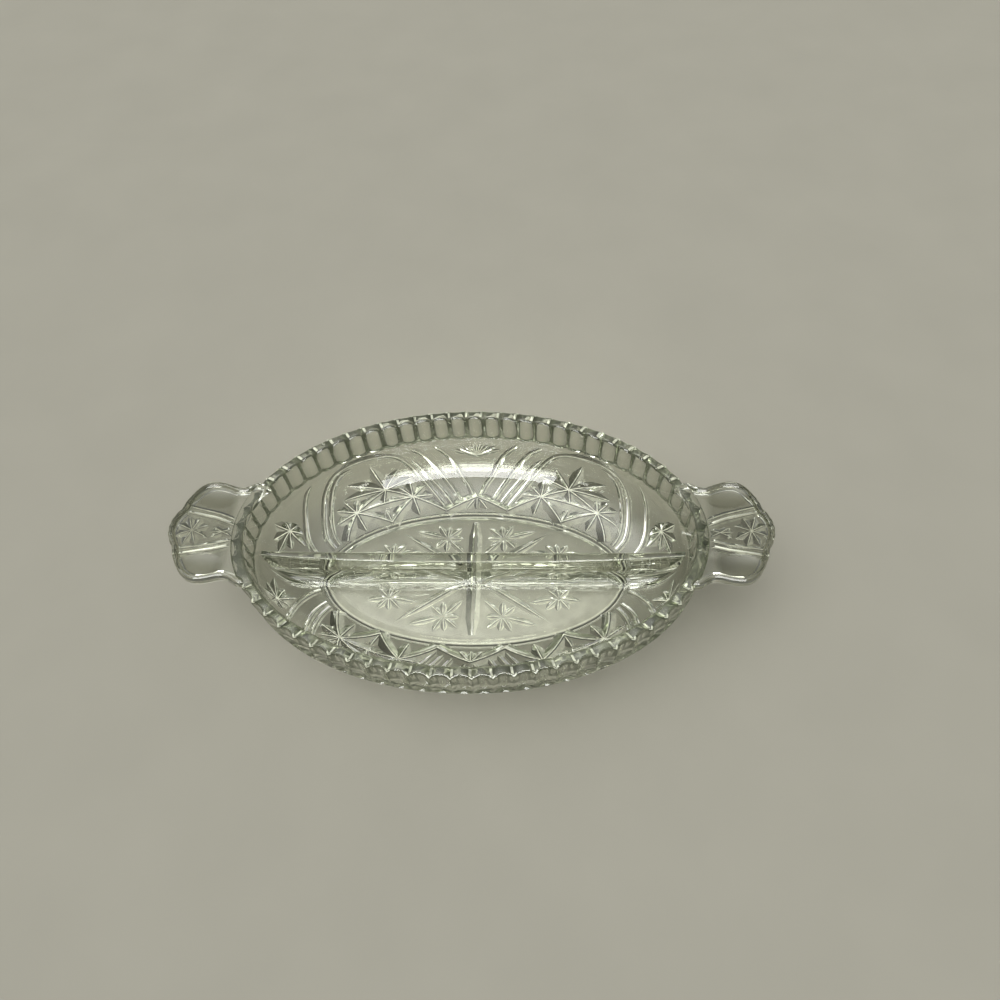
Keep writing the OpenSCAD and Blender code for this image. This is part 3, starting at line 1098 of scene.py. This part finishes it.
class Value:
    """A shader socket that can be reckoned with in plain expressions."""

    def __init__(self, tree: "ShaderTree", socket: bpy.types.NodeSocket) -> None:
        """Keeps the tree and the socket."""
        self.tree = tree
        self.socket = socket

    def _maths(self, how: str, *terms: object) -> "Value":
        """Adds one Math node."""
        return self.tree.node("Math", dict(enumerate(terms)), operation=how).out(0)

    def __add__(self, other: object) -> "Value":
        """Sum."""
        return self._maths("ADD", self, other)

    def __rsub__(self, other: object) -> "Value":
        """Difference, with the number in front."""
        return self._maths("SUBTRACT", other, self)

    def __mul__(self, other: object) -> "Value":
        """Product."""
        return self._maths("MULTIPLY", self, other)

    def __gt__(self, other: object) -> "Value":
        """1 where this value is the larger one, 0 elsewhere."""
        return self._maths("GREATER_THAN", self, other)

    def __abs__(self) -> "Value":
        """The value without its sign."""
        return self._maths("ABSOLUTE", self)

    def at_least(self, other: object) -> "Value":
        """The larger of two values."""
        return self._maths("MAXIMUM", self, other)


@dataclass
class Placed:
    """A node of a shader tree."""

    tree: "ShaderTree"
    node: bpy.types.Node

    def out(self, key: int | str) -> Value:
        """One of the node's outputs as a value."""
        return Value(self.tree, self.node.outputs[key])


class ShaderTree:
    """A node tree that is filled by plain calls."""

    def __init__(self, owner: bpy.types.Material | bpy.types.World) -> None:
        """Empties the tree of a material or a world."""
        owner.use_nodes = True
        self.tree = owner.node_tree
        self.tree.nodes.clear()

    def node(self, kind: str, inputs: dict[int | str, object], **settings: object) -> Placed:
        """Adds a node.

        Args:
            kind: The node's type as Blender names it, without ShaderNode in front.
            inputs: A value or a link for each socket that is set.
            settings: Properties of the node, set before its sockets.

        Returns:
            The placed node.
        """
        made = self.tree.nodes.new(f"ShaderNode{kind}")
        for name, value in settings.items():
            setattr(made, name, value)
        for key, value in inputs.items():
            if isinstance(value, Value):
                self.tree.links.new(value.socket, made.inputs[key])
            else:
                made.inputs[key].default_value = value
        return Placed(self, made)

    def noise(self, scale: float, detail: float = 2.0) -> Value:
        """Soft noise on the piece's own coordinates."""
        place = self.node("TexCoord", {}).out("Object")
        made = self.node("TexNoise", {"Vector": place, "Scale": scale, "Detail": detail})
        return made.out("Fac")

    def ramp(self, value: Value, ends: Share = (0.0, 1.0)) -> Value:
        """Rises from 0 to 1 between two ends, and stays level outside them."""
        made = self.node("MapRange", {"Value": value, "From Min": ends[0], "From Max": ends[1]})
        return made.out("Result")

    def mix(self, factor: Value, first: Value | Triple, second: Value | Triple) -> Value:
        """A colour between two others."""
        sides = [side if isinstance(side, Value) else (*side, 1.0) for side in (first, second)]
        return self.node("Mix", {0: factor, 6: sides[0], 7: sides[1]}, data_type="RGBA").out(2)

    def towards(self, way: Value, aim: Triple) -> Value:
        """How much of one direction lies along another."""
        made = self.node("VectorMath", {0: way, 1: aim}, operation="DOT_PRODUCT")
        return made.out("Value")

    def mark(self, name: str, output: str) -> Value:
        """A face attribute of the piece."""
        return self.node("Attribute", {}, attribute_name=name).out(output)


@dataclass(frozen=True)
class PressedGlass:
    """Clear soda glass with a faint grey-green body and the slight waves of the mould.

    The cut facets get painted shade on the side that leans away from a painted light and a faint
    painted glow on the other, as the keels, the rim, the foot's edges and the floor get painted
    glows.
    The wall grows greyer with height, as glass tint and painted shade, and the handles get painted
    shade. Heights and distances are in metres.
    """

    name: str = "pressed_glass"
    index: float = 1.52
    clear: Triple = (0.985, 0.99, 0.95)
    faint: Triple = (0.97, 0.985, 0.945)
    body: Triple = (0.6, 0.65, 0.46)
    density: float = 25.0
    # Greyer up the wall: partly the glass's own grey tint, partly painted shade that leaves the
    # floor brighter
    grey: Triple = (0.76, 0.77, 0.7)
    wall_from: Share = (0.006, 0.028)
    # Painted shade that darkens the handles
    handle_shade: Triple = (0.48, 0.49, 0.41)
    handle_shade_from: Share = (0.0945, 0.098)
    # Painted light and shade on the cuts: facets leaning away from this way get painted shade,
    # those leaning towards it a painted glow, and the strips beside the keels painted dark lines
    painted_light_way: Triple = (-0.6, 0.35, 0.72)
    facet_gain: float = 2.2
    facet_shade: Triple = (0.1, 0.105, 0.085)
    line_shade: Triple = (0.03, 0.032, 0.025)
    # Colour of every painted glow, the painted glow of the facets, and noise that makes the painted
    # glints sparkle
    glow: Triple = (0.62, 0.63, 0.52)
    facet_glow: float = 0.38
    sparkle_scale: float = 420.0
    sparkle: Share = (0.36, 0.56)
    sparkle_part: float = 0.6
    # Painted glow along the rim's top, fading out at the handles
    rim_glow: float = 0.05
    rim_ends: Share = (0.086, 0.093)
    rim_from: Share = (0.0441, 0.0449)
    # Painted light on the floor plate, stronger on the near half and mottled at random
    floor_glow: float = 0.035
    near_floor_glow: float = 0.078
    floor_glow_from: Share = (0.0049, 0.0058)
    floor_glow_oval: Share = (0.0665, 0.0328)
    floor_glow_fade: Share = (1.0, 0.92)
    near_from: Share = (0.004, 0.014)
    mottle_scale: float = 170.0
    mottle_detail: float = 5.0
    mottle: Share = (0.34, 0.66)
    mottle_least: float = 0.5
    # Painted glow on the foot's edges, in a thin band just above its tread
    foot_glow: float = 0.32
    foot_rise: Share = (0.00002, 0.00008)
    foot_fall: Share = (0.0003, 0.0004)
    wave_scale: float = 90.0
    wave_height: float = 0.00002
    fine_scale: float = 810.0
    fine_height: float = 0.03
    fine_rough: float = 0.015
    room: Triple = (0.09, 0.095, 0.07)
    late_glossy: float = 3.5
    late_depth: float = 9.5

    def tint(self, tree: ShaderTree, wave: Value, turned: Value, line: Value) -> Value:
        """The glass's colour: greyer up the wall as tint and painted shade, with painted shade in
        the handles and on the cuts' far sides.

        Args:
            tree: The glass's node tree.
            wave: The slow waves of the mould.
            turned: How much a facet leans towards the painted light's way.
            line: The marks of the painted bright and dark lines.

        Returns:
            The colour.
        """
        axes = self.axes(tree)
        # Greyer up the wall, as glass tint and painted shade
        wall = tree.ramp(axes.out("Z"), self.wall_from)
        tint = tree.mix(wall, tree.mix(wave, self.clear, self.faint), self.grey)
        # Painted shade in the handles
        tint = tree.mix(tree.ramp(abs(axes.out("X")), self.handle_shade_from), tint, self.handle_shade)
        # Painted shade on facets leaning away from the painted light, and on the strips beside the
        # keels
        tint = tree.mix(tree.ramp(turned * -self.facet_gain), tint, self.facet_shade)
        return tree.mix(tree.ramp(line * -1.0), tint, self.line_shade)

    def glints(self, tree: ShaderTree, turned: Value, line: Value) -> Value:
        """Strength of the small painted glows on the cuts, the rim, the foot and the floor.

        Args:
            tree: The glass's node tree.
            turned: How much a facet leans towards the painted light's way.
            line: The marks of the painted bright and dark lines.

        Returns:
            The strength.
        """
        axes = self.axes(tree)
        height = axes.out("Z")
        sparkle = tree.ramp(tree.noise(self.sparkle_scale), self.sparkle)
        # Painted glow on facets that lean towards the painted light
        facets = tree.ramp(turned * self.facet_gain) * self.facet_glow
        # Painted glow along the rim's top, fading out at the handles
        rim = tree.ramp(height, self.rim_from) * self.rim_glow
        rim = rim * (1.0 - tree.ramp(abs(axes.out("X")), self.rim_ends))
        # Painted glow on the foot's edges
        foot = tree.ramp(height, self.foot_rise) * (1.0 - tree.ramp(height, self.foot_fall))
        # Painted light on the floor plate, more on the near half, mottled
        near = tree.ramp(axes.out("Y") * -1.0, self.near_from) * self.near_floor_glow + self.floor_glow
        east, north = (axes.out(k) * (1.0 / r) for k, r in zip("XY", self.floor_glow_oval))
        inside = tree.ramp(east * east + north * north, self.floor_glow_fade)
        mottle = tree.ramp(tree.noise(self.mottle_scale, self.mottle_detail), self.mottle)
        floor_glow = (1.0 - tree.ramp(height, self.floor_glow_from)) * near * inside
        floor_glow = floor_glow * (mottle + self.mottle_least)
        # Painted glints on the keels, the rim and the rib's edges, and painted glow on the facets,
        # made to sparkle
        steady = 1.0 - self.sparkle_part
        cuts = (facets + tree.ramp(line)) * (sparkle * self.sparkle_part + steady)
        return cuts + rim + foot * self.foot_glow + floor_glow

    def axes(self, tree: ShaderTree) -> Placed:
        """The three coordinates of a point of the piece, in metres."""
        return tree.node("SeparateXYZ", {0: tree.node("TexCoord", {}).out("Object")})

    def material(self) -> bpy.types.Material:
        """Builds the glass."""
        made = bpy.data.materials.new(self.name)
        # The weak painted glows needn't be sampled as lamps, which would double the render time
        made.cycles.emission_sampling = "NONE"
        tree = ShaderTree(made)
        wave, fine = tree.noise(self.wave_scale), tree.noise(self.fine_scale)
        waves = wave + fine * self.fine_height
        bump = tree.node("Bump", {"Strength": 1.0, "Distance": self.wave_height, "Height": waves})
        turned = tree.towards(tree.mark(LEAN, "Vector"), self.painted_light_way)
        line = tree.mark(PAINTED_LINE, "Fac")
        glints = self.glints(tree, turned, line)
        glass = tree.node("BsdfPrincipled", {
            "Base Color": self.tint(tree, wave, turned, line),
            "Roughness": fine * self.fine_rough,
            "IOR": self.index,
            "Transmission Weight": 1.0,
            "Normal": bump.out("Normal"),
            # The painted glows: highlights on keels, facets, rim and foot, and painted light on the
            # floor
            "Emission Color": tree.mix(glints, (0.0, 0.0, 0.0), self.glow),
            "Emission Strength": 1.0,
        })
        body = tree.node(
            "VolumeAbsorption", {"Color": (*self.body, 1.0), "Density": self.density}
        )
        # A path that is still in the glass after many bounces ends in the room's mean tone
        path = tree.node("LightPath", {})
        late = (path.out("Glossy Depth") > self.late_glossy).at_least(
            path.out("Ray Depth") > self.late_depth
        )
        room = tree.node("Emission", {"Color": (*self.room, 1.0), "Strength": 1.0})
        seen = tree.node("MixShader", {0: late, 1: glass.out("BSDF"), 2: room.out("Emission")})
        surface, volume = seen.out("Shader"), body.out("Volume")
        tree.node("OutputMaterial", {"Surface": surface, "Volume": volume})
        return made


@dataclass(frozen=True)
class PaleFloor:
    """A plain matt floor in the grey of the photograph's background."""

    name: str = "pale_floor"
    shade: Triple = (0.405, 0.392, 0.332)
    size: float = 6.0
    cloud_scale: float = 22.0
    cloud_detail: float = 3.0
    cloud: float = 0.05
    rough: float = 0.95
    sheen: float = 0.1

    def build(self) -> Piece:
        """Adds the floor with its material."""
        floor = Bench.add(bpy.ops.mesh.primitive_plane_add, self.name, size=self.size)
        made = bpy.data.materials.new(self.name)
        tree = ShaderTree(made)
        soft = tree.noise(self.cloud_scale, self.cloud_detail)
        dark, light = (tuple(c * k for c in self.shade) for k in (1 - self.cloud, 1 + self.cloud))
        matt = tree.node("BsdfPrincipled", {
            "Base Color": tree.mix(soft, dark, light),
            "Roughness": self.rough,
            "Specular IOR Level": self.sheen,
        })
        tree.node("OutputMaterial", {"Surface": matt.out("BSDF")})
        floor.data.materials.append(made)
        return floor


# --- Stage ---


@dataclass(frozen=True)
class PhotoCamera:
    """The camera of the photograph, in the tray's frame."""

    place: Triple = (0.0239, -0.1457, 0.3019)
    lens: float = 27.04
    sensor: float = 36.0
    clip: float = 0.01
    pitch: float = 58.13
    roll: float = -3.47
    yaw: float = 4.1

    def build(self) -> None:
        """Adds the camera and makes it the scene's own."""
        camera = Bench.add(bpy.ops.object.camera_add, "Camera", location=self.place)
        turn = Euler((0, 0, math.radians(self.yaw))).to_matrix()
        tilt = Euler((math.radians(90 - self.pitch), 0, 0)).to_matrix()
        lean = Euler((0, 0, math.radians(self.roll))).to_matrix()
        camera.rotation_euler = (turn @ tilt @ lean).to_euler()
        camera.data.lens = self.lens
        camera.data.sensor_width = self.sensor
        camera.data.clip_start = self.clip
        bpy.context.scene.camera = camera


@dataclass(frozen=True)
class SoftBox:
    """A soft lamp that glass and polish show, and that lights no matt surface."""

    name: str
    place: Triple
    aim: Triple
    size: Share
    power: float

    def build(self) -> None:
        """Adds the lamp, aimed at its point."""
        lamp = Bench.add(
            bpy.ops.object.light_add, self.name, type="AREA", location=self.place
        )
        lamp.data.shape = "RECTANGLE"
        lamp.data.size, lamp.data.size_y = self.size
        lamp.data.energy = self.power
        lamp.visible_diffuse = False
        way = Vector(self.aim) - Vector(self.place)
        lamp.rotation_euler = way.to_track_quat("-Z", "Y").to_euler()


@dataclass(frozen=True)
class StudioLight:
    """A soft dome, brighter towards one side, and a window-like soft box behind the camera."""

    low: float = 0.16
    zenith: float = 0.45
    lobe: float = 3.1
    lobe_way: Triple = (-0.3, -0.15, 0.94)
    white: Triple = (1.0, 1.0, 0.98)
    window: SoftBox = SoftBox(
        "window_box", (-0.05, -1.3, 0.62), (-0.05, 0.0, 0.62), (1.0, 1.16), 38.0
    )

    def build(self) -> None:
        """Adds the lamp and the dome."""
        self.window.build()
        world = bpy.data.worlds.new("studio_dome")
        tree = ShaderTree(world)
        way = tree.node("TexCoord", {}).out("Generated")
        near = tree.towards(way, self.lobe_way).at_least(0.0)
        up = tree.node("SeparateXYZ", {0: way}).out("Z")
        square = near * near
        lobe = square * square * square * square * self.lobe
        strength = lobe + up * up * self.zenith + self.low
        sky = tree.node("Background", {"Color": (*self.white, 1.0), "Strength": strength})
        tree.node("OutputWorld", {"Surface": sky.out("Background")})
        bpy.context.scene.world = world


# --- Assembly ---


@dataclass
class RelishTray:
    """The whole tray, built in one continuous body of glass."""

    form: TrayForm = field(default_factory=TrayForm)
    glass: PressedGlass = field(default_factory=PressedGlass)
    crease: float = 24.0

    def build(self) -> Piece:
        """Joins the members, cuts the patterns and brings the piece to metres."""
        body = MouldedBowl(self.form).build()
        LOG.info("bowl: %d faces", len(body.data.polygons))
        rib = CentreRib(self.form).build()
        handle = FanHandle(self.form)
        right = handle.build()
        left = Bench.mirrored(right, (-1, 1))
        Bench.combine(body, [rib, right, left], Boolean.UNION)
        LOG.info("with rib and handles: %d faces", len(body.data.polygons))
        for name, maker in (
            ("star wall", StarWall(self.form)),
            ("floor spray", FloorSpray(self.form)),
            ("handle cuts", HandleCuts(handle)),
        ):
            for tool in maker.tools():
                Bench.combine(body, [tool], Boolean.DIFFERENCE)
            LOG.info("%s: %d faces", name, len(body.data.polygons))
        body.name = "pressed_glass_body"
        self.finish(body)
        return body

    def finish(self, body: Piece) -> None:
        """Smooths, scales and dresses the glass, and hands it to the frame."""
        Bench.pick(body)
        bpy.ops.object.shade_smooth_by_angle(angle=math.radians(self.crease))
        body.data.transform(Matrix.Scale(MM, 4))
        body.data.materials.clear()
        body.data.materials.append(self.glass.material())
        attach(body, "root")
        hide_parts(*frame["nodes"])


def main() -> None:
    """Builds the stage and the tray, and reports each piece."""
    logging.basicConfig(level=logging.INFO, format="%(message)s", stream=sys.stdout)
    PhotoCamera().build()
    StudioLight().build()
    PaleFloor().build()
    tray = RelishTray().build()
    tray.data.calc_loop_triangles()
    LOG.info("%s: %d triangles", tray.name, len(tray.data.loop_triangles))
    bpy.context.scene.view_settings.view_transform = "Standard"


if __name__ == "__main__":
    main()
